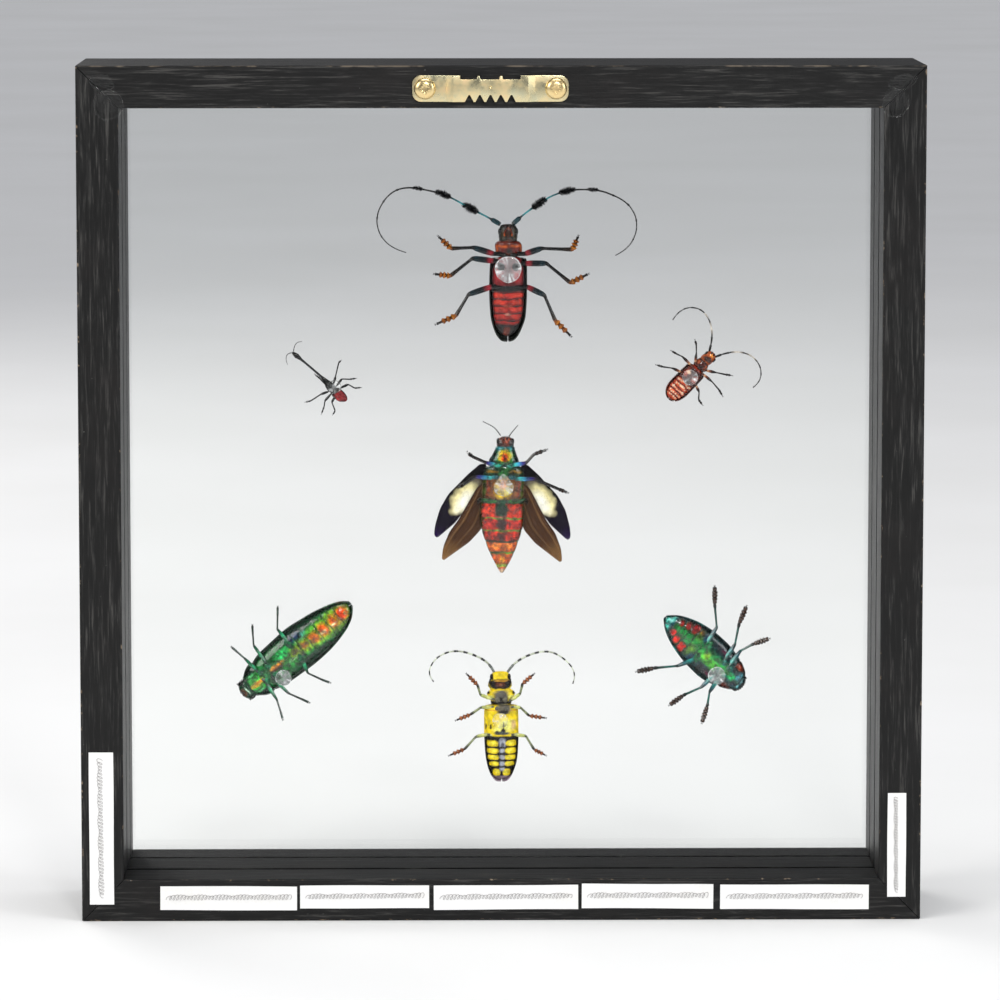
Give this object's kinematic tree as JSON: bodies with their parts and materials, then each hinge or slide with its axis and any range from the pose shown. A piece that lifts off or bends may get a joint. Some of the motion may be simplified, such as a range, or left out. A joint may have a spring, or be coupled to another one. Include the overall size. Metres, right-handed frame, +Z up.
{
  "type": "framed insect display",
  "caption": "Deep black wooden frame holding dried beetles between two clear panes, with labels and a sawtooth hanger on its back.",
  "frame": {"origin": "centre of the bounding box at the bottom, where the bottom rail rests", "axes": "+Z up; the back, with hanger and labels, faces -Y; the front faces +Y; +X is the right-hand side as seen from the back"},
  "size_m": [0.305, 0.0606, 0.311],
  "materials": {
    "black_wood": "open-grained wood stained black, satin, worn at the edges",
    "pane_glass": "clear float glass",
    "plated_steel": "pressed steel with yellow zinc plating",
    "label_paper": "white paper with a line of pen loops",
    "clear_glue": "clear glue, set hard and glossy",
    "beetle_top_longhorn": "black and crimson shell, satin",
    "beetle_giraffe_weevil": "black shell with a red hind body, glossy",
    "beetle_orange_longhorn": "orange and brown shell with pale scales, satin",
    "beetle_open_winged": "metallic green and copper shell with cream patches on violet-black wing cases",
    "beetle_green_jewel": "metallic green and gold shell",
    "beetle_flat_spotted": "metallic blue-green shell with red spots",
    "beetle_yellow_longhorn": "yellow and black shell, satin"
  },
  "bodies": {
    "root": {"rail_top": "black_wood", "rail_bottom": "black_wood", "rail_left": "black_wood", "rail_right": "black_wood", "rear_pane": "pane_glass", "front_pane": "pane_glass", "hanger_plate": "plated_steel", "screw_left": "plated_steel", "screw_right": "plated_steel", "label_left": "label_paper", "label_bottom_1": "label_paper", "label_bottom_2": "label_paper", "label_bottom_3": "label_paper", "label_bottom_4": "label_paper", "label_bottom_5": "label_paper", "label_right": "label_paper", "beetle_top_longhorn": "beetle_top_longhorn", "beetle_giraffe_weevil": "beetle_giraffe_weevil", "beetle_orange_longhorn": "beetle_orange_longhorn", "beetle_open_winged": "beetle_open_winged", "beetle_green_jewel": "beetle_green_jewel", "beetle_flat_spotted": "beetle_flat_spotted", "beetle_yellow_longhorn": "beetle_yellow_longhorn", "glue_top_longhorn": "clear_glue", "glue_giraffe_weevil": "clear_glue", "glue_orange_longhorn": "clear_glue", "glue_open_winged": "clear_glue", "glue_green_jewel": "clear_glue", "glue_flat_spotted": "clear_glue", "glue_yellow_longhorn": "clear_glue"}
  },
  "joints": []
}
